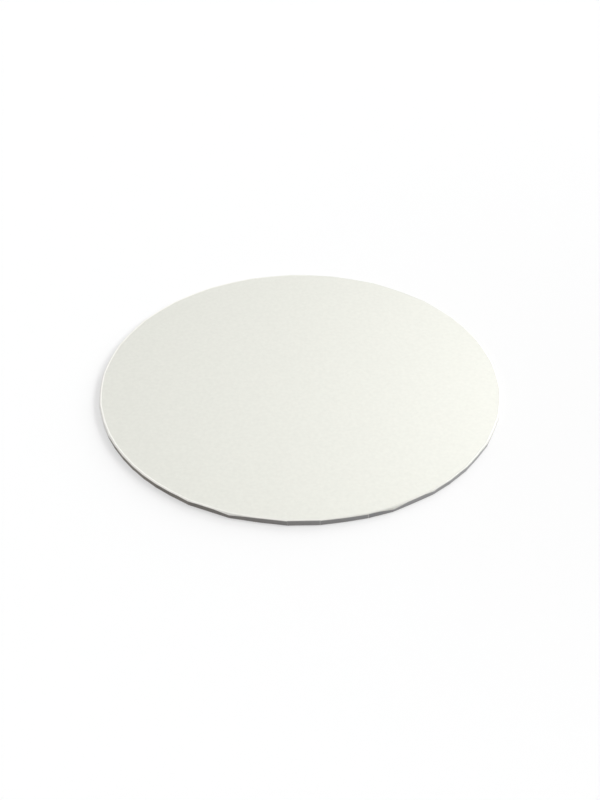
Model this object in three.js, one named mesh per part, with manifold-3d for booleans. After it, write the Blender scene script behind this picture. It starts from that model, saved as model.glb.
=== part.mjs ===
// A round cake board: a pulp board disc, the covering sheet that is turned over its rim and in under it,
// and the backing paper that closes its underside.
// Millimetres, +Z up. The origin is the centre of the underside, and -Y is the front.

import * as THREE from "three";
import { LoftGeometry } from "three/addons/geometries/LoftGeometry.js";
import { mergeVertices } from "three/addons/utils/BufferGeometryUtils.js";
import Module from "manifold-3d";

// Board core
const coreRadius = 101.1;
const coreThickness = 2.7;
const coreEdgeRadius = 0.4;

// Covering sheet
const coverThickness = 0.2;
const glueLine = 0.1; // clearance between the core's edge and the sheet that is turned over it
const lipRadius = 0.6; // rounded edge of the face
const heelRadius = 0.4; // rounded edge of the underside
const marginWidth = 12; // what is turned in under the board, measured from the rim

// Backing paper
const backingRadius = 95;
const backingThickness = 0.1;

// Pleats. The sheet is gathered into them where it goes over the rim, and it is taut between them.
const pleatPitch = 13; // degrees between two pleats where none can be told apart
const plainStand = 0.3; // how far a plain pleat stands proud of the rim
const finePitch = 7; // the same two on the stretch that looks round
const fineStand = 0.2;
const creaseWidth = 0.1; // width of a fold where it starts, at the lip
const dartSpread = 2.4; // degrees from a dart's crease to where the lip has its own radius again
const dartLean = 0.25; // how far a dart reaches in over the face for each millimetre that it reaches down
const trimGap = 0.3; // clearance round the cut edges of the papers

// Steps of the round shapes
const roundSteps = 96;
const edgeSteps = 3; // in the sheet's lip and heel
const innerSteps = 2; // in the edges of the core
const stepAngle = 360 / roundSteps;

// The pleats that can be told apart. An angle runs anticlockwise from +X, stand is how far the corner
// stands proud, and dart is how much further down than the lip the sheet rounds over there.
const shownPleats = [
  { angle: 48, stand: 0.5, dart: 0 },
  { angle: 66, stand: 0.5, dart: 0 },
  { angle: 146, stand: 0.4, dart: 0 },
  { angle: 239.5, stand: 0.5, dart: 0.4 },
  { angle: 251.5, stand: 0.7, dart: 1.3 },
  { angle: 267, stand: 0.5, dart: 0.2 },
  { angle: 275, stand: 0.4, dart: 0 },
  { angle: 288, stand: 0.3, dart: 0.2 },
  { angle: 294.5, stand: 0.6, dart: 1.5 },
  { angle: 307.5, stand: 0.4, dart: 0.4 },
  { angle: 314, stand: 0.3, dart: 0 },
  { angle: 321, stand: 0.3, dart: 0 },
];
const fineStretch = { from: 203, to: 238 };

// Heights and radii that follow from the sizes above
const marginBase = backingThickness;
const marginTop = marginBase + coverThickness;
const coreTop = marginBase + coreThickness;
const faceHeight = coreTop + coverThickness;
const cavityRadius = coreRadius + glueLine;
const coverRadius = cavityRadius + coverThickness;
const openingRadius = coverRadius - marginWidth;
const coreHeelRadius = heelRadius - coverThickness;
const foldRelief = backingThickness; // a fold of the margin lies level with the backing paper

const wasm = await Module();
wasm.setup();

const toRadians = THREE.MathUtils.degToRad;

// A full turn of pleats: the ones that show, fine ones on the round stretch, and plain ones in the gaps.
function allPleats() {
  const fine = [];
  for (let angle = fineStretch.from; angle < fineStretch.to; angle += finePitch) {
    fine.push({ angle, stand: fineStand, dart: 0 });
  }
  const known = [...shownPleats, ...fine].sort((a, b) => a.angle - b.angle);
  const filled = [];
  known.forEach((pleat, i) => {
    const next = i + 1 < known.length ? known[i + 1].angle : known[0].angle + 360;
    const count = Math.max(1, Math.round((next - pleat.angle) / pleatPitch));
    const pitch = (next - pleat.angle) / count;
    filled.push(pleat);
    for (let k = 1; k < count; k++) {
      filled.push({ angle: (pleat.angle + k * pitch) % 360, stand: plainStand, dart: 0 });
    }
  });
  return filled.sort((a, b) => a.angle - b.angle);
}

// Distance from the axis to the sheet, pulled taut round the core and over the corners of the pleats.
function tautRadius(angle, pleats) {
  const last = pleats[pleats.length - 1];
  const before = pleats.findLast((p) => p.angle <= angle) ?? { ...last, angle: last.angle - 360 };
  const after = pleats.find((p) => p.angle > angle) ?? { ...pleats[0], angle: pleats[0].angle + 360 };
  const [from, to, here] = [before.angle, after.angle, angle].map(toRadians);
  const fromRadius = coverRadius + before.stand;
  const toRadius = coverRadius + after.stand;
  const leaves = from + Math.acos(coverRadius / fromRadius); // where it comes down on the round
  const rises = to - Math.acos(coverRadius / toRadius);
  if (leaves >= rises) {
    const spread = fromRadius * Math.sin(here - from) + toRadius * Math.sin(to - here);
    return (fromRadius * toRadius * Math.sin(to - from)) / spread;
  }
  return coverRadius / Math.cos(Math.max(0, leaves - here, here - rises));
}

// The places round the rim where the sheet's section is drawn. A pleat has three: its crease, the fold
// that lies beside it, and the edge of that fold. A dart has one more on each side.
function rimPlaces(pleats) {
  const places = [];
  for (let i = 0; i < roundSteps; i++) {
    const angle = i * stepAngle;
    const clear = pleats.every((pleat) => {
      const apart = Math.abs(angle - pleat.angle);
      const room = stepAngle / 2 + (pleat.dart > 0 ? dartSpread : 0);
      return Math.min(apart, 360 - apart) > room;
    });
    if (clear) places.push({ angle, slip: 0, edge: 0, fold: 0, dart: 0 });
  }
  for (const { angle, dart } of pleats) {
    places.push({ angle, slip: 0, edge: 0, fold: 0, dart });
    places.push({ angle, slip: 1, edge: 0, fold: 1, dart });
    places.push({ angle, slip: 1, edge: 1, fold: 0, dart });
    if (dart > 0) {
      places.push({ angle: angle - dartSpread, slip: 0, edge: 0, fold: 0, dart: 0 });
      places.push({ angle: angle + dartSpread, slip: 0, edge: 0, fold: 0, dart: 0 });
    }
  }
  return places.sort((a, b) => a.angle - b.angle || a.slip - b.slip || a.edge - b.edge);
}

// The sheet's outer side in section at one place, from the face over the lip, down the rim and in under
// the board to the backing paper. Out and down give the way it faces, and share how much of a fold it has.
function skinSection(rim, dart) {
  const drop = lipRadius + dart;
  const reach = lipRadius + dart * dartLean;
  const levels = [];
  for (let i = 0; i <= edgeSteps; i++) {
    const turn = (i / edgeSteps) * (Math.PI / 2);
    const radius = rim - reach * (1 - Math.sin(turn));
    levels.push({ radius, height: faceHeight - drop * (1 - Math.cos(turn)), out: 0, down: 0, share: 0 });
  }
  for (let i = 0; i <= edgeSteps; i++) {
    const turn = (i / edgeSteps) * (Math.PI / 2);
    const [out, down] = [Math.cos(turn), Math.sin(turn)];
    const radius = rim - heelRadius * (1 - out);
    levels.push({ radius, height: marginBase + heelRadius * (1 - down), out, down, share: 1 });
  }
  levels.push({ radius: backingRadius + 2 * trimGap, height: marginBase, out: 0, down: 1, share: 1 });
  levels.push({ radius: backingRadius + trimGap, height: marginBase, out: 0, down: 0, share: 0 });
  let run = 0;
  levels.forEach((level, i) => {
    const above = levels[Math.max(0, i - 1)];
    run += Math.hypot(level.radius - above.radius, level.height - above.height);
    level.flatRadius = levels[0].radius + run; // where this ring of the sheet was before it was turned over
  });
  return levels;
}

// The outer skin as rings of points, from the middle of the underside up to the middle of the face.
function skinRings(pleats) {
  const places = rimPlaces(pleats);
  const rings = [];
  for (const place of places) {
    const levels = skinSection(tautRadius(place.angle, pleats), place.dart);
    levels.forEach((level, k) => {
      const spare = (Math.PI * (level.flatRadius - level.radius)) / pleats.length;
      const shift = place.slip * (creaseWidth + spare) + place.edge * creaseWidth;
      const angle = toRadians(place.angle) + shift / level.radius;
      const relief = place.fold * level.share * foldRelief;
      const radius = level.radius + level.out * relief;
      const height = level.height - level.down * relief;
      (rings[k] ??= []).push(new THREE.Vector3(radius * Math.cos(angle), radius * Math.sin(angle), height));
    });
  }
  const middle = (height) => places.map(() => new THREE.Vector3(0, 0, height));
  return [middle(marginBase), ...rings.reverse(), middle(faceHeight)];
}

// A turned disc with rounded edges. Under it, the middle can reach down to a lower level.
function roundedDisc({ radius, base, top, heel, edge, middleRadius, middleBase }) {
  const quarter = Math.PI / 2;
  const profile = new THREE.Path();
  profile.moveTo(0, middleBase);
  profile.lineTo(middleRadius, middleBase);
  profile.lineTo(middleRadius, base);
  profile.lineTo(radius - heel, base);
  profile.absarc(radius - heel, base + heel, heel, -quarter, 0, false);
  profile.lineTo(radius, top - edge);
  profile.absarc(radius - edge, top - edge, edge, 0, quarter, false);
  profile.lineTo(0, top);
  return new THREE.LatheGeometry(profile.getPoints(innerSteps / 2), roundSteps).rotateX(quarter);
}

// A closed geometry as a solid that can be cut.
function solidOf(geometry) {
  const bare = new THREE.BufferGeometry().copy(geometry);
  bare.deleteAttribute("normal");
  bare.deleteAttribute("uv");
  const merged = mergeVertices(bare);
  const vertProperties = merged.attributes.position.array;
  const triVerts = new Uint32Array(merged.index.array);
  return new wasm.Manifold(new wasm.Mesh({ numProp: 3, vertProperties, triVerts }));
}

function geometryOf(solid) {
  const { vertProperties, triVerts } = solid.getMesh();
  const geometry = new THREE.BufferGeometry();
  geometry.setAttribute("position", new THREE.BufferAttribute(vertProperties, 3));
  geometry.setIndex(new THREE.BufferAttribute(triVerts, 1));
  geometry.computeVertexNormals();
  return geometry;
}

// The middle of the core's underside is level with the turned-in margin, which is pressed into it.
function boardCore() {
  const geometry = roundedDisc({
    radius: coreRadius,
    base: marginTop,
    top: coreTop,
    heel: coreHeelRadius,
    edge: coreEdgeRadius,
    middleRadius: openingRadius - trimGap,
    middleBase: marginBase,
  });
  return piece("board_core", geometry, { color: 0x8f877b, roughness: 0.95, metalness: 0 });
}

function coverPaper() {
  const skin = new LoftGeometry(skinRings(allPleats()));
  const cavity = roundedDisc({
    radius: cavityRadius,
    base: marginTop,
    top: coreTop,
    heel: coreHeelRadius,
    edge: coreEdgeRadius,
    middleRadius: openingRadius,
    middleBase: -coverThickness,
  });
  const geometry = geometryOf(solidOf(skin).subtract(solidOf(cavity)));
  return piece("cover_paper", geometry, { color: 0xe9eae3, roughness: 0.4, metalness: 0.2 });
}

function backingPaper() {
  const geometry = new THREE.CylinderGeometry(backingRadius, backingRadius, backingThickness, roundSteps);
  geometry.rotateX(Math.PI / 2);
  const mesh = piece("backing_paper", geometry, { color: 0xf1f0ea, roughness: 0.85, metalness: 0 });
  mesh.position.z = backingThickness / 2;
  return mesh;
}

function piece(name, geometry, finish) {
  const mesh = new THREE.Mesh(geometry, new THREE.MeshStandardMaterial(finish));
  mesh.name = name;
  return mesh;
}

const cakeBoard = new THREE.Group();
cakeBoard.add(boardCore(), coverPaper(), backingPaper());

export default cakeBoard;
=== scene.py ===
import math

import bmesh
import bpy
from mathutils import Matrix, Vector, noise


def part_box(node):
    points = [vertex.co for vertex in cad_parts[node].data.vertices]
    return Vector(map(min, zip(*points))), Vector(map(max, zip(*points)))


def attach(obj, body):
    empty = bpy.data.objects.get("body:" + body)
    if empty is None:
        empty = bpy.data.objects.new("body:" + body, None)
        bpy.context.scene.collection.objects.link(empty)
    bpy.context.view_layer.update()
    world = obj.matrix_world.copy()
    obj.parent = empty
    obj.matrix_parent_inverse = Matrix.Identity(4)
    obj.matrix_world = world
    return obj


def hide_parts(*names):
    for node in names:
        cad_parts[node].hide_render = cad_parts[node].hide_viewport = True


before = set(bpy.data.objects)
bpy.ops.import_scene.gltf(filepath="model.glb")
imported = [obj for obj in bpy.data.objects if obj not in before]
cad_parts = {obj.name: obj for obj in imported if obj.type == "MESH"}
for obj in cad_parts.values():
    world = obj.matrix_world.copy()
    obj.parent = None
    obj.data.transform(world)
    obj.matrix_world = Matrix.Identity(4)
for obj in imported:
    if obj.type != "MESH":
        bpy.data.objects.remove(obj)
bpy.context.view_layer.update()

mm = 0.001
touch = 1e-7  # points nearer than this are one point
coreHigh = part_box("board_core")[1]
coverLow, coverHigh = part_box("cover_paper")
backingLow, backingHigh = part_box("backing_paper")


# The camera stands where the photo was taken from
camera = {
    "place": (0.0, -0.60455, 0.4693),
    "tilt": 51.78,  # degrees from looking straight down
    "lens": 67.5,
}


def makeCamera():
    data = bpy.data.cameras.new("photoCamera")
    data.lens = camera["lens"]
    data.sensor_width = 36
    seat = bpy.data.objects.new("photoCamera", data)
    seat.location = camera["place"]
    seat.rotation_euler = (math.radians(camera["tilt"]), 0, 0)
    bpy.context.collection.objects.link(seat)
    bpy.context.scene.camera = seat


# The covering sheet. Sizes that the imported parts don't give are those of the paper itself.
sheet = {
    "thickness": 0.2 * mm,
    "glue": 0.1 * mm,  # between the core's edge and the sheet
    "lip": 0.6 * mm,  # rounded edge of the face
    "heel": 0.4 * mm,  # rounded edge of the underside
    "margin": 12 * mm,  # turned in under the board
    "roundSteps": 1260,
    "lipSteps": 8,
    "wallSteps": 8,
    "heelSteps": 4,
    "marginSteps": 6,
    "faceRings": (40 * mm, 80 * mm, 95 * mm, 98 * mm, 100 * mm, 100.6 * mm),
    "settle": (96 * mm, 100 * mm),  # the corners of the rim die out between these radii
    "wave": 0.03 * mm,  # unevenness of the rim between two pleats
    "waveLength": 5 * mm,
    "shadeLine": 0.3 * mm,  # the painted shade begins this far below the face on a plain facet
    "dartShare": 0.7,  # how much of the V in the painted shade's edge is a real dip of the lip
    "dartReach": 0.25,  # how far the dip reaches in over the face for each millimetre down
    "dartFade": 2 * mm,  # the dip has died out this far in on the face
    "foldShow": (0.3 * mm, 0.6 * mm),  # the folds come out from under the backing paper between these
}

# Its pleats: angle in degrees, how far the corner stands proud, how much the crease leans along the rim
# on its way down, and how strong the painted highlight along the crease line is
pleats = {
    "shown": [
        (48, 0.5 * mm, 0.3 * mm, 0.3),
        (66, 0.5 * mm, -0.2 * mm, 0),
        (146, 0.4 * mm, 0.2 * mm, 0.5),
        (239.5, 0.5 * mm, 0.5 * mm, 0),
        (251.3, 0.6 * mm, 0.6 * mm, 0),
        (266.7, 0.5 * mm, 0.1 * mm, 0.25),
        (275.2, 0.4 * mm, 0.0 * mm, 0.55),
        (288, 0.3 * mm, 0.0 * mm, 1),
        (295, 0.6 * mm, 0.3 * mm, 0),
        (307.8, 0.4 * mm, 0.5 * mm, 0),
        (314, 0.3 * mm, 0.2 * mm, 0.1),
        (321, 0.3 * mm, 0.3 * mm, 0.1),
    ],
    "fine": (203, 238, 5, 0.1 * mm),  # from, to, pitch and stand on the stretch that looks round
    "pitch": 13,
    "stand": 0.3 * mm,
    "lean": 0.3 * mm,
    "crease": 0.1 * mm,  # width of a fold where it starts
    "groove": 0.07 * mm,  # how deep the crease line is pressed in
    "grooveWidth": 0.16 * mm,
}

# Where the painted shade begins on the rim: angle, and how far below the lip; above it the rim keeps the
# face's pale colour.
# It's a straight line on each facet, with a V where the sheet is gathered.
shadeEdge = [
    (200, 1.9 * mm),
    (204, 1.2 * mm),
    (208, 0.45 * mm),
    (225, 0.3 * mm),
    (236, 0.12 * mm),
    (239.5, 0.3 * mm),
    (242, 0.1 * mm),
    (247, 0.1 * mm),
    (251.3, 0.75 * mm),
    (255.5, 0.15 * mm),
    (260, -0.05 * mm),
    (266.6, -0.05 * mm),
    (266.8, -0.2 * mm),
    (275.2, -0.2 * mm),
    (275.4, -0.1 * mm),
    (287.9, 0.15 * mm),
    (288.2, 0.0 * mm),
    (291, 0.1 * mm),
    (295.2, 1.1 * mm),
    (299.5, 0.15 * mm),
    (305, 0.05 * mm),
    (308, 0.65 * mm),
    (310, 0.3 * mm),
    (320.8, 0.2 * mm),
    (321.5, 0.4 * mm),
    (330, 0.6 * mm),
    (338, 1.9 * mm),
]
plainEdge = 0.2 * mm  # a V of the painted shade's edge that's deeper than this is a dart
dartStretch = (208, 212, 328, 324)  # degrees: the darts show between the second and the last of these

# Out of sight towards the back the painted shade begins lower, so that most of the rim there keeps the
# face's pale colour
hiddenEdge = {"drop": 1.9 * mm, "dart": 0.5 * mm, "spread": 3}

coreRadius = coreHigh.x
cavityRadius = coreRadius + sheet["glue"]
rimRadius = cavityRadius + sheet["thickness"]
faceHeight = coverHigh.z
marginHeight = backingHigh.z
openingRadius = rimRadius - sheet["margin"]
foldRelief = backingHigh.z - backingLow.z  # a fold of the margin lies level with the backing paper
wallTop = faceHeight - sheet["lip"]
wallFoot = marginHeight + sheet["heel"]
lipRun = sheet["lip"] * math.pi / 2
wallRun = wallTop - wallFoot
heelRun = sheet["heel"] * math.pi / 2


def smooth(low, high, value):
    share = min(1, max(0, (value - low) / (high - low)))
    return share * share * (3 - 2 * share)


def roundOfPleats():
    # the pleats that show, fine ones on the round stretch, and plain ones spread over the gaps
    start, stop, pitch, stand = pleats["fine"]
    fine = [(angle, stand, 0, 0) for angle in range(start, stop, pitch)]
    known = sorted(pleats["shown"] + fine)
    every = []
    for i, pleat in enumerate(known):
        following = known[i + 1][0] if i + 1 < len(known) else known[0][0] + 360
        count = max(1, round((following - pleat[0]) / pleats["pitch"]))
        every.append(pleat)
        for k in range(1, count):
            angle = pleat[0] + k * (following - pleat[0]) / count
            every.append((angle % 360, pleats["stand"], pleats["lean"] * (-1) ** k, 0.2))
    return sorted(every)


every = roundOfPleats()


def edgeAt(angle):
    # where the painted shade begins below the lip, and how much of that is a dart that pulls the lip down
    # too
    for (low, first), (high, second) in zip(shadeEdge, shadeEdge[1:]):
        if low <= angle < high:
            edge = first + (second - first) * (angle - low) / (high - low)
            inside = smooth(*dartStretch[:2], angle) * smooth(*dartStretch[2:], angle)
            return edge, inside * max(0, edge - plainEdge)
    # out of sight each pleat draws the painted shade's edge down by its own amount
    near = min(every, key=lambda p: abs(turnTo(angle, p[0])))
    amount = 0.5 + noise.noise(Vector((near[0], 0, 0)))
    dart = hiddenEdge["dart"] * amount * max(0, 1 - abs(turnTo(angle, near[0])) / hiddenEdge["spread"])
    return hiddenEdge["drop"] + dart, dart


def neighbours(angle):
    # the pleat before an angle and the one after it, with their angles on the same turn
    before = [p for p in every if p[0] <= angle]
    after = [p for p in every if p[0] > angle]
    first = before[-1] if before else (every[-1][0] - 360,) + every[-1][1:]
    second = after[0] if after else (every[0][0] + 360,) + every[0][1:]
    return first, second


def tautRadius(angle):
    # the sheet is pulled straight from corner to corner, or down on the round of the board between them
    first, second = neighbours(angle)
    a, b, here = (math.radians(x) for x in (first[0], second[0], angle))
    ra, rb = rimRadius + first[1], rimRadius + second[1]
    leaves, rises = a + math.acos(rimRadius / ra), b - math.acos(rimRadius / rb)
    if leaves >= rises:
        return ra * rb * math.sin(b - a) / (ra * math.sin(here - a) + rb * math.sin(b - here))
    return rimRadius / math.cos(max(0, leaves - here, here - rises))


def gatheredAngles():
    # the steps of the spin crowd together at the pleats, where the small forms are
    spans = [(p[0], (every[(i + 1) % len(every)][0] - p[0]) % 360) for i, p in enumerate(every)]
    share = [math.sqrt(span) for at, span in spans]
    counts = [max(8, int(sheet["roundSteps"] * s / sum(share))) for s in share]
    counts[-1] += sheet["roundSteps"] - sum(counts)
    angles = []
    for (at, span), count in zip(spans, counts):
        angles += [at + span * (1 - math.cos(math.pi * k / count)) / 2 for k in range(count)]
    return angles


def sheetSection(bm):
    # the outer side in section: face, lip, rim, heel and margin
    last = bm.verts.new((0, 0, faceHeight))
    for radius in sheet["faceRings"] + (rimRadius - sheet["lip"],):
        last = drawTo(bm, last, (radius, 0, faceHeight), 1)
    last = turnDown(bm, last, (rimRadius - sheet["lip"], 0, wallTop), sheet["lipSteps"])
    last = drawTo(bm, last, (rimRadius, 0, wallFoot), sheet["wallSteps"])
    last = turnDown(bm, last, (rimRadius - sheet["heel"], 0, wallFoot), sheet["heelSteps"])
    drawTo(bm, last, (openingRadius, 0, marginHeight), sheet["marginSteps"])


def drawTo(bm, last, place, steps):
    start = last.co.copy()
    for k in range(steps):
        last = bmesh.ops.extrude_vert_indiv(bm, verts=[last])["verts"][0]
        last.co = start.lerp(Vector(place), (k + 1) / steps)
    return last


def turnDown(bm, last, centre, steps):
    turned = bmesh.ops.spin(bm, geom=[last], cent=centre, axis=(0, 1, 0), angle=math.pi / 2, steps=steps)
    return [v for v in turned["geom_last"] if isinstance(v, bmesh.types.BMVert)][0]


def runOf(radius, height):
    # distance along the sheet from where the lip begins, and the way the surface faces there
    if height > wallTop + touch:
        if radius < rimRadius - sheet["lip"] + touch:
            return radius - (rimRadius - sheet["lip"]), (0, 1)
        turn = math.atan2(radius - rimRadius + sheet["lip"], height - wallTop)
        return sheet["lip"] * turn, (math.sin(turn), math.cos(turn))
    if height > wallFoot - touch:
        return lipRun + wallTop - height, (1, 0)
    if radius > rimRadius - sheet["heel"] + touch:
        turn = math.atan2(wallFoot - height, radius - rimRadius + sheet["heel"])
        return lipRun + wallRun + sheet["heel"] * turn, (math.cos(turn), -math.sin(turn))
    return lipRun + wallRun + heelRun + (rimRadius - sheet["heel"] - radius), (0, -1)


def makeCoverSheet():
    bm = bmesh.new()
    sheetSection(bm)
    bmesh.ops.spin(
        bm, geom=bm.verts[:] + bm.edges[:], cent=(0, 0, 0), axis=(0, 0, 1),
        angle=math.tau, steps=sheet["roundSteps"], use_merge=True,
    )
    bmesh.ops.remove_doubles(bm, verts=bm.verts[:], dist=touch)
    masks = [bm.verts.layers.float.new(name) for name in ("run", "down", "edge", "crease", "tone")]
    spokes = [spokeAt(angle) for angle in gatheredAngles()]
    step = math.tau / sheet["roundSteps"]
    for vert in bm.verts:
        radius = math.hypot(vert.co.x, vert.co.y)
        if radius < 1e-6:
            vert[masks[0]], vert[masks[2]] = -1, 1
            continue
        spoke = spokes[round(math.atan2(vert.co.y, vert.co.x) / step) % sheet["roundSteps"]]
        vert.co, values = wrapPoint(spoke, radius, vert.co.z)
        for mask, value in zip(masks, values):
            vert[mask] = value
    bmesh.ops.recalc_face_normals(bm, faces=bm.faces[:])
    return finishPiece(bm, "coverSheet")


def spokeAt(angle):
    # what holds for all the points of the sheet that lie in one direction from the middle
    first, second = neighbours(angle % 360)
    near = min((first, second), key=lambda p: abs(turnTo(angle, p[0])))
    return {
        "angle": math.radians(angle),
        "stand": tautRadius(angle % 360) - rimRadius,
        "away": math.radians(turnTo(angle, near[0])),  # from the nearest crease
        "lean": near[2],
        "creaseGlint": near[3],
        "edge": edgeAt(angle % 360)[0],
        "dart": edgeAt(angle % 360)[1],
        "tone": noise.noise(Vector((first[0], 0.5, 0))),
    }


def wrapPoint(spoke, radius, height):
    run, facing = runOf(radius, height)
    lipShare = min(1, max(0, run / lipRun))
    wallShare = min(1, max(0, (run - lipRun) / wallRun))
    # the fold beside each crease is wider the more the sheet is gathered
    flat = rimRadius - sheet["lip"] + max(0, run)
    width = pleats["crease"] + math.pi * max(0, flat - radius) / len(every)
    along = spoke["away"] * radius - spoke["lean"] * wallShare
    shown = 1
    if facing[1] < -0.5:  # the backing paper covers the rest of the folds
        shown = smooth(*sheet["foldShow"], radius - backingHigh.x)
    lift = 0
    if 0 < along < width:
        lift = along / width
    elif width <= along < width + pleats["crease"]:
        lift = 1 - (along - width) / pleats["crease"]
    lift *= foldRelief * wallShare
    pressed = pleats["groove"] * math.exp(-((along / pleats["grooveWidth"]) ** 2)) * lipShare
    # where the painted shade's edge is drawn down, the lip comes down the rim with it and is rounder
    drop = sheet["dartShare"] * spoke["dart"]
    reach = drop * sheet["dartReach"]
    turn = lipShare * math.pi / 2
    if run <= 0:
        radius -= reach * smooth(-sheet["dartFade"], 0, run)
    elif wallShare <= 0:
        height -= drop * (1 - math.cos(turn))
        radius -= reach * (1 - math.sin(turn))
    elif wallShare < 1:
        height -= drop * (1 - wallShare)
    across = Vector((math.cos(spoke["angle"]), math.sin(spoke["angle"]), 0))
    uneven = noise.noise((across * rimRadius + Vector((0, 0, run))) / sheet["waveLength"])
    offset = (lift - pressed) * shown + sheet["wave"] * uneven * lipShare * max(0, facing[0])
    radius += facing[0] * offset + spoke["stand"] * smooth(*sheet["settle"], radius)
    height = max(coverLow.z, height + facing[1] * offset)
    # masks in millimetres: past the start of the lip, below the face, and where the painted shade begins
    down = faceHeight - height if facing[1] > -0.5 else faceHeight
    # painted highlight along the crease line of each fold, down the rim
    glintShare = spoke["creaseGlint"] * math.exp(-((along / pleats["grooveWidth"]) ** 2)) * lipShare
    edge = sheet["shadeLine"] + spoke["edge"] if run > 0 else faceHeight
    values = max(-1, run / mm), down / mm, edge / mm, glintShare, spoke["tone"]
    return across * radius + Vector((0, 0, height)), values


def turnTo(angle, pleatAngle):
    return (angle - pleatAngle + 180) % 360 - 180


def finishPiece(bm, name):
    data = bpy.data.meshes.new(name)
    bm.to_mesh(data)
    bm.free()
    for face in data.polygons:
        face.use_smooth = True
    piece = bpy.data.objects.new(name, data)
    bpy.context.collection.objects.link(piece)
    return piece


# The backing paper, a plain disc glued over the margin
backing = {
    "roundSteps": 240,
    "rings": 6,
    "edge": 0.03 * mm,  # the cut edge is a little rounded
}


def makeBackingSheet():
    radius, low, high, edge = backingHigh.x, backingLow.z, backingHigh.z, backing["edge"]
    bm = bmesh.new()
    last = bm.verts.new((0, 0, low))
    last = drawTo(bm, last, (radius - edge, 0, low), backing["rings"])
    last = drawTo(bm, last, (radius, 0, low + edge), 1)
    last = drawTo(bm, last, (radius, 0, high - edge), 1)
    last = drawTo(bm, last, (radius - edge, 0, high), 1)
    drawTo(bm, last, (0, 0, high), backing["rings"])
    bmesh.ops.spin(
        bm, geom=bm.verts[:] + bm.edges[:], cent=(0, 0, 0), axis=(0, 0, 1),
        angle=math.tau, steps=backing["roundSteps"], use_merge=True,
    )
    bmesh.ops.remove_doubles(bm, verts=bm.verts[:], dist=touch)
    bmesh.ops.recalc_face_normals(bm, faces=bm.faces[:])
    return finishPiece(bm, "backingSheet")


# Node groups and materials
def nodeGroup(name, inputs, outputs):
    group = bpy.data.node_groups.new(name, "ShaderNodeTree")
    for label, kind, value in inputs:
        made = group.interface.new_socket(label, in_out="INPUT", socket_type="NodeSocket" + kind)
        if value is not None:
            made.default_value = value
    for label, kind in outputs:
        group.interface.new_socket(label, in_out="OUTPUT", socket_type="NodeSocket" + kind)
    return group, group.nodes.new("NodeGroupInput"), group.nodes.new("NodeGroupOutput")


def mathNode(tree, operation, a, b):
    node = tree.nodes.new("ShaderNodeMath")
    node.operation = operation
    for slot, value in zip(node.inputs, (a, b)):
        if isinstance(value, bpy.types.NodeSocket):
            tree.links.new(value, slot)
        else:
            slot.default_value = value
    return node.outputs[0]


def noiseNode(tree, vector, scale, detail=2.0, roughness=0.5):
    node = tree.nodes.new("ShaderNodeTexNoise")
    node.inputs["Detail"].default_value = detail
    node.inputs["Roughness"].default_value = roughness
    tree.links.new(vector, node.inputs["Vector"])
    if isinstance(scale, bpy.types.NodeSocket):
        tree.links.new(scale, node.inputs["Scale"])
    else:
        node.inputs["Scale"].default_value = scale
    return node.outputs["Fac"]


paperGrain = {
    "pebbleShare": 0.75,
    "fibreShare": 0.25,
    "pebbleNoise": (1.5, 0.45),  # detail and roughness
    "fibreNoise": (3.0, 0.6),
}


def makePaperGrain():
    # a soft pebbled grain with finer fibres in it, as a height and as a value around one
    inputs = [
        ("Vector", "Vector", None),
        ("Pebble", "Float", 600.0),
        ("Fibre", "Float", 3500.0),
        ("Tone", "Float", 0.02),
    ]
    group, start, end = nodeGroup("paperGrain", inputs, [("Height", "Float"), ("Value", "Float")])
    vector = start.outputs["Vector"]
    pebble = noiseNode(group, vector, start.outputs["Pebble"], *paperGrain["pebbleNoise"])
    fibre = noiseNode(group, vector, start.outputs["Fibre"], *paperGrain["fibreNoise"])
    coarse = mathNode(group, "MULTIPLY", pebble, paperGrain["pebbleShare"])
    fine = mathNode(group, "MULTIPLY", fibre, paperGrain["fibreShare"])
    mixed = mathNode(group, "ADD", coarse, fine)
    group.links.new(mixed, end.inputs["Height"])
    centred = mathNode(group, "SUBTRACT", mixed, 0.5)
    toned = mathNode(group, "MULTIPLY", centred, start.outputs["Tone"])
    group.links.new(mathNode(group, "ADD", toned, 1.0), end.inputs["Value"])
    return group


def placeGroup(tree, group, vector, **values):
    node = tree.nodes.new("ShaderNodeGroup")
    node.node_tree = group
    tree.links.new(vector, node.inputs["Vector"])
    for label, value in values.items():
        node.inputs[label].default_value = value
    return node


def newMaterial(name):
    material = bpy.data.materials.new(name)
    material.use_nodes = True
    tree = material.node_tree
    shader = tree.nodes["Principled BSDF"]
    coords = tree.nodes.new("ShaderNodeTexCoord").outputs["Object"]
    return material, tree, shader, coords


def rangeNode(tree, value, low, high):
    node = tree.nodes.new("ShaderNodeMapRange")
    node.interpolation_type = "SMOOTHSTEP"
    node.inputs["From Min"].default_value = low
    node.inputs["From Max"].default_value = high
    tree.links.new(value, node.inputs["Value"])
    return node.outputs["Result"]


def attributeNode(tree, name):
    node = tree.nodes.new("ShaderNodeAttribute")
    node.attribute_name = name
    return node.outputs["Fac"]


def colourInputs(node):
    return [s for s in node.inputs if s.type == "RGBA"]


def mixTone(tree, share, first, second):
    # the colour sockets of a Mix node are picked by type, because its names repeat
    node = tree.nodes.new("ShaderNodeMix")
    node.data_type = "RGBA"
    factor = [s for s in node.inputs if s.name == "Factor" and s.type == "VALUE"][0]
    slots = [factor] + colourInputs(node)
    for slot, value in zip(slots, (share, first, second)):
        if isinstance(value, bpy.types.NodeSocket):
            tree.links.new(value, slot)
        else:
            slot.default_value = value
    return [s for s in node.outputs if s.type == "RGBA"][0]


def scaleTone(tree, colour, value):
    node = tree.nodes.new("ShaderNodeVectorMath")
    node.operation = "SCALE"
    tree.links.new(colour, node.inputs[0])
    tree.links.new(value, node.inputs["Scale"])
    return node.outputs["Vector"]


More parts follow.
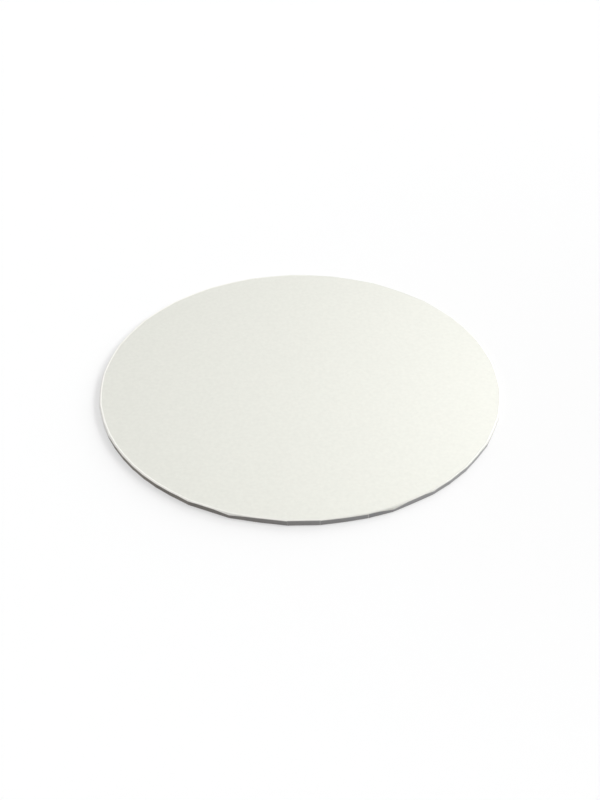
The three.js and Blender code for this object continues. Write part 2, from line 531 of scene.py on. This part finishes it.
def bumpNode(tree, height, distance, strength=1.0):
    node = tree.nodes.new("ShaderNodeBump")
    node.inputs["Distance"].default_value = distance
    node.inputs["Strength"].default_value = strength
    tree.links.new(height, node.inputs["Height"])
    return node.outputs["Normal"]


def unevenGloss(tree, cloud, roughness):
    least, added = roughness
    return mathNode(tree, "ADD", mathNode(tree, "MULTIPLY", cloud, added), least)


coverLook = {
    "face": (0.701, 0.704, 0.649, 1),  # satin off-white
    "lipHighlightLeft": (0.93, 0.915, 0.87, 1),  # painted highlight on the lip, brightest on the left, where the lamps light it least
    # painted shade: on the right, where the lamps light the lip, its colour is kept below the face's
    "lipShadeRight": (0.66, 0.66, 0.615, 1),
    "shadeSoft": 0.06,  # mm over which the painted shade fades in
    "lipHighlightStart": (-0.6, -0.3),  # mm before the lip where the painted highlight begins
    "rimShadeLeft": (0.175, 0.157, 0.132, 1),  # painted shade on the rim: dark grey, darker and browner on the left, away from the lamps
    "rimShadeRight": (0.29, 0.288, 0.29, 1),
    "litSideSpan": (-0.09, 0.05),  # where along X the painted left side turns into the painted right side, for the rim's shade and the lip's highlight
    # painted highlight along the crease lines
    "crease": (0.60, 0.595, 0.585, 1),
    "toneShare": 0.16,  # how much one facet differs from the next
    "grain": {"Pebble": 560.0, "Fibre": 3800.0, "Tone": 0.13},  # grains and fibres to the metre
    "grainDepth": 0.018 * mm,
    "cloud": (22.0, 3.0),  # patches of gloss to the metre, and their detail
    "roughness": (0.36, 0.08),  # least, and how much the patches add
}


def makeCoverMaterial(grain):
    material, tree, shader, coords = newMaterial("satinCoverSheet")
    texture = placeGroup(tree, grain, coords, **coverLook["grain"])
    crease, tone = attributeNode(tree, "crease"), attributeNode(tree, "tone")
    # below its shade line the rim is painted dark grey as shade; above it the sheet keeps the face's
    # colour
    beyond = mathNode(tree, "SUBTRACT", attributeNode(tree, "down"), attributeNode(tree, "edge"))
    aboveShade = rangeNode(tree, beyond, coverLook["shadeSoft"], -coverLook["shadeSoft"])
    lip = rangeNode(tree, attributeNode(tree, "run"), *coverLook["lipHighlightStart"])
    apart = tree.nodes.new("ShaderNodeSeparateXYZ")
    tree.links.new(coords, apart.inputs[0])
    across = rangeNode(tree, apart.outputs["X"], *coverLook["litSideSpan"])
    # painted shade on the rim, darker on the left, away from the lamps
    rimShade = mixTone(tree, across, coverLook["rimShadeLeft"], coverLook["rimShadeRight"])
    streaks = mathNode(tree, "ADD", mathNode(tree, "MULTIPLY", tone, coverLook["toneShare"]), 1.0)
    rimShade = scaleTone(tree, rimShade, streaks)
    # painted highlight along the crease lines
    rimShade = mixTone(tree, crease, rimShade, coverLook["crease"])
    # painted highlight along the lip, bright on the left and dimmed on the right, where the lamps fall
    lipHighlight = mixTone(tree, across, coverLook["lipHighlightLeft"], coverLook["lipShadeRight"])
    face = mixTone(tree, lip, coverLook["face"], lipHighlight)
    skin = mixTone(tree, aboveShade, rimShade, face)
    tree.links.new(scaleTone(tree, skin, texture.outputs["Value"]), shader.inputs["Base Color"])
    cloud = noiseNode(tree, coords, *coverLook["cloud"])
    tree.links.new(unevenGloss(tree, cloud, coverLook["roughness"]), shader.inputs["Roughness"])
    relief = bumpNode(tree, texture.outputs["Height"], coverLook["grainDepth"])
    tree.links.new(relief, shader.inputs["Normal"])
    return material


backingLook = {
    "paper": (0.82, 0.81, 0.775, 1),
    "shade": (0.76, 0.75, 0.715, 1),
    "grain": {"Pebble": 1500.0, "Fibre": 5200.0, "Tone": 0.06},
    "grainDepth": 0.03 * mm,
    "cloud": (60.0, 4.0, 0.65),  # patches to the metre, detail, roughness
    "roughness": (0.78, 0.1),
}


def makeBackingMaterial(grain):
    material, tree, shader, coords = newMaterial("plainBackingPaper")
    texture = placeGroup(tree, grain, coords, **backingLook["grain"])
    cloud = noiseNode(tree, coords, *backingLook["cloud"])
    tone = mixTone(tree, cloud, backingLook["shade"], backingLook["paper"])
    tree.links.new(scaleTone(tree, tone, texture.outputs["Value"]), shader.inputs["Base Color"])
    tree.links.new(unevenGloss(tree, cloud, backingLook["roughness"]), shader.inputs["Roughness"])
    relief = bumpNode(tree, texture.outputs["Height"], backingLook["grainDepth"])
    tree.links.new(relief, shader.inputs["Normal"])
    return material


boardLook = {
    "pulp": (0.33, 0.30, 0.265, 1),
    "fleck": (0.20, 0.18, 0.16, 1),
    "grain": {"Pebble": 900.0, "Fibre": 2600.0, "Tone": 0.25},
    "grainDepth": 0.08 * mm,
    "flecks": (1400.0, 4.0, 0.7),  # flecks to the metre, detail, roughness
    "fleckFrom": 0.62,  # only the peaks of the noise are flecks
    "fleckShare": 0.6,
    "roughness": (0.88, 0.1),
}


def makeBoardMaterial(grain):
    material, tree, shader, coords = newMaterial("greyPulpBoard")
    texture = placeGroup(tree, grain, coords, **boardLook["grain"])
    flecks = noiseNode(tree, coords, *boardLook["flecks"])
    peaks = mathNode(tree, "GREATER_THAN", flecks, boardLook["fleckFrom"])
    sparse = mathNode(tree, "MULTIPLY", peaks, boardLook["fleckShare"])
    tone = mixTone(tree, sparse, boardLook["pulp"], boardLook["fleck"])
    tree.links.new(scaleTone(tree, tone, texture.outputs["Value"]), shader.inputs["Base Color"])
    tree.links.new(unevenGloss(tree, flecks, boardLook["roughness"]), shader.inputs["Roughness"])
    relief = bumpNode(tree, texture.outputs["Height"], boardLook["grainDepth"])
    tree.links.new(relief, shader.inputs["Normal"])
    return material


def dress(piece, material):
    piece.data.materials.clear()
    piece.data.materials.append(material)


# Floor and light
studio = {
    "floorSize": 8.0,
    "floorTone": (0.6, 0.6, 0.6, 1),  # what the floor throws back at the board
    "floorWhite": 0.997,
    "floorSelf": 0.42,  # share of the white that's there in the shadow too
    "fill": 0.45,  # what the surroundings light the board with
    # wide lamps: from the right towards the back and above the floor in degrees, spread, strength
    "wide": [
        ("keyLight", 48, 14, 50, 3.1),
        ("topLight", -90, 64, 30, 0.29),
        ("leftLight", 197, 25, 40, 0.42),
    ],
    "sidePlace": (0.38, -0.04, 0.36),
    "sideSize": 0.25,
    "sidePower": 1.4,
}


def makeFloor():
    bm = bmesh.new()
    bmesh.ops.create_grid(bm, x_segments=1, y_segments=1, size=studio["floorSize"] / 2)
    floor = finishPiece(bm, "floor")
    material = bpy.data.materials.new("whiteTable")
    material.use_nodes = True
    tree = material.node_tree
    tree.nodes.clear()
    out = tree.nodes.new("ShaderNodeOutputMaterial")
    seen = tree.nodes.new("ShaderNodeEmission")
    seen.inputs["Strength"].default_value = studio["floorWhite"] * studio["floorSelf"]
    lit = tree.nodes.new("ShaderNodeBsdfDiffuse")
    tree.links.new(evenTone(tree), lit.inputs["Color"])
    both = tree.nodes.new("ShaderNodeAddShader")
    tree.links.new(seen.outputs[0], both.inputs[0])
    tree.links.new(lit.outputs[0], both.inputs[1])
    real = tree.nodes.new("ShaderNodeBsdfDiffuse")
    real.inputs["Color"].default_value = studio["floorTone"]
    mix = tree.nodes.new("ShaderNodeMixShader")
    tree.links.new(seenRays(tree), mix.inputs[0])
    tree.links.new(real.outputs[0], mix.inputs[1])
    tree.links.new(both.outputs[0], mix.inputs[2])
    tree.links.new(mix.outputs[0], out.inputs["Surface"])
    dress(floor, material)


def evenTone(tree):
    # a little darker where the side lamp falls, so that the lit floor is one even white
    wide = sum(lamp[4] * math.sin(math.radians(lamp[2])) for lamp in studio["wide"])
    place = Vector(studio["sidePlace"])
    spot = tree.nodes.new("ShaderNodeTexCoord").outputs["Object"]
    near = tree.nodes.new("ShaderNodeVectorMath")
    near.operation = "DISTANCE"
    tree.links.new(spot, near.inputs[0])
    near.inputs[1].default_value = place
    ahead = tree.nodes.new("ShaderNodeVectorMath")
    ahead.operation = "DOT_PRODUCT"
    tree.links.new(spot, ahead.inputs[0])
    ahead.inputs[1].default_value = -place.normalized()
    ahead = mathNode(tree, "MAXIMUM", mathNode(tree, "ADD", ahead.outputs["Value"], place.length), 0.0)
    reach = studio["sidePower"] * place.z / math.pi ** 2
    side = mathNode(tree, "MULTIPLY", ahead, reach)
    side = mathNode(tree, "DIVIDE", side, mathNode(tree, "POWER", near.outputs["Value"], 4.0))
    light = mathNode(tree, "ADD", side, studio["fill"] + wide / math.pi)
    return mathNode(tree, "DIVIDE", studio["floorWhite"] * (1 - studio["floorSelf"]), light)


def seenRays(tree):
    # camera, glossy and transmission rays see the white
    path = tree.nodes.new("ShaderNodeLightPath")
    first = mathNode(tree, "MAXIMUM", path.outputs["Is Camera Ray"], path.outputs["Is Glossy Ray"])
    return mathNode(tree, "MAXIMUM", first, path.outputs["Is Transmission Ray"])


def makeWorld():
    world = bpy.data.worlds.new("studioWorld")
    bpy.context.scene.world = world
    world.use_nodes = True
    tree = world.node_tree
    back = tree.nodes["Background"]
    back.inputs["Color"].default_value = (1, 1, 1, 1)
    strength = mathNode(tree, "MULTIPLY", seenRays(tree), 1 - studio["fill"])
    tree.links.new(mathNode(tree, "ADD", strength, studio["fill"]), back.inputs["Strength"])


def makeLamp(name, kind, place, power):
    data = bpy.data.lights.new(name, kind)
    data.energy = power
    lamp = bpy.data.objects.new(name, data)
    lamp.location = place
    lamp.rotation_euler = (-Vector(place)).to_track_quat("-Z", "Y").to_euler()
    bpy.context.collection.objects.link(lamp)
    return data


def makeLight():
    for name, side, height, spread, strength in studio["wide"]:
        side, height = math.radians(side), math.radians(height)
        towards = (math.cos(side) * math.cos(height), math.sin(side) * math.cos(height), math.sin(height))
        makeLamp(name, "SUN", towards, strength).angle = math.radians(spread)
    near = makeLamp("sideLight", "AREA", studio["sidePlace"], studio["sidePower"])
    near.shape = "DISK"
    near.size = studio["sideSize"]


makeCamera()
print("camera set")

grain = makePaperGrain()
coverSheet = makeCoverSheet()
shell = coverSheet.modifiers.new("thickness", "SOLIDIFY")
shell.thickness = sheet["thickness"]
shell.offset = -1
dress(coverSheet, makeCoverMaterial(grain))
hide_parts("cover_paper")
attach(coverSheet, "root")
print("cover sheet:", len(coverSheet.data.polygons), "faces")

backingSheet = makeBackingSheet()
dress(backingSheet, makeBackingMaterial(grain))
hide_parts("backing_paper")
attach(backingSheet, "root")
print("backing sheet:", len(backingSheet.data.polygons), "faces")

dress(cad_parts["board_core"], makeBoardMaterial(grain))
print("board core dressed")

makeFloor()
makeWorld()
makeLight()
bpy.context.scene.view_settings.view_transform = "Standard"
print("floor and light set")
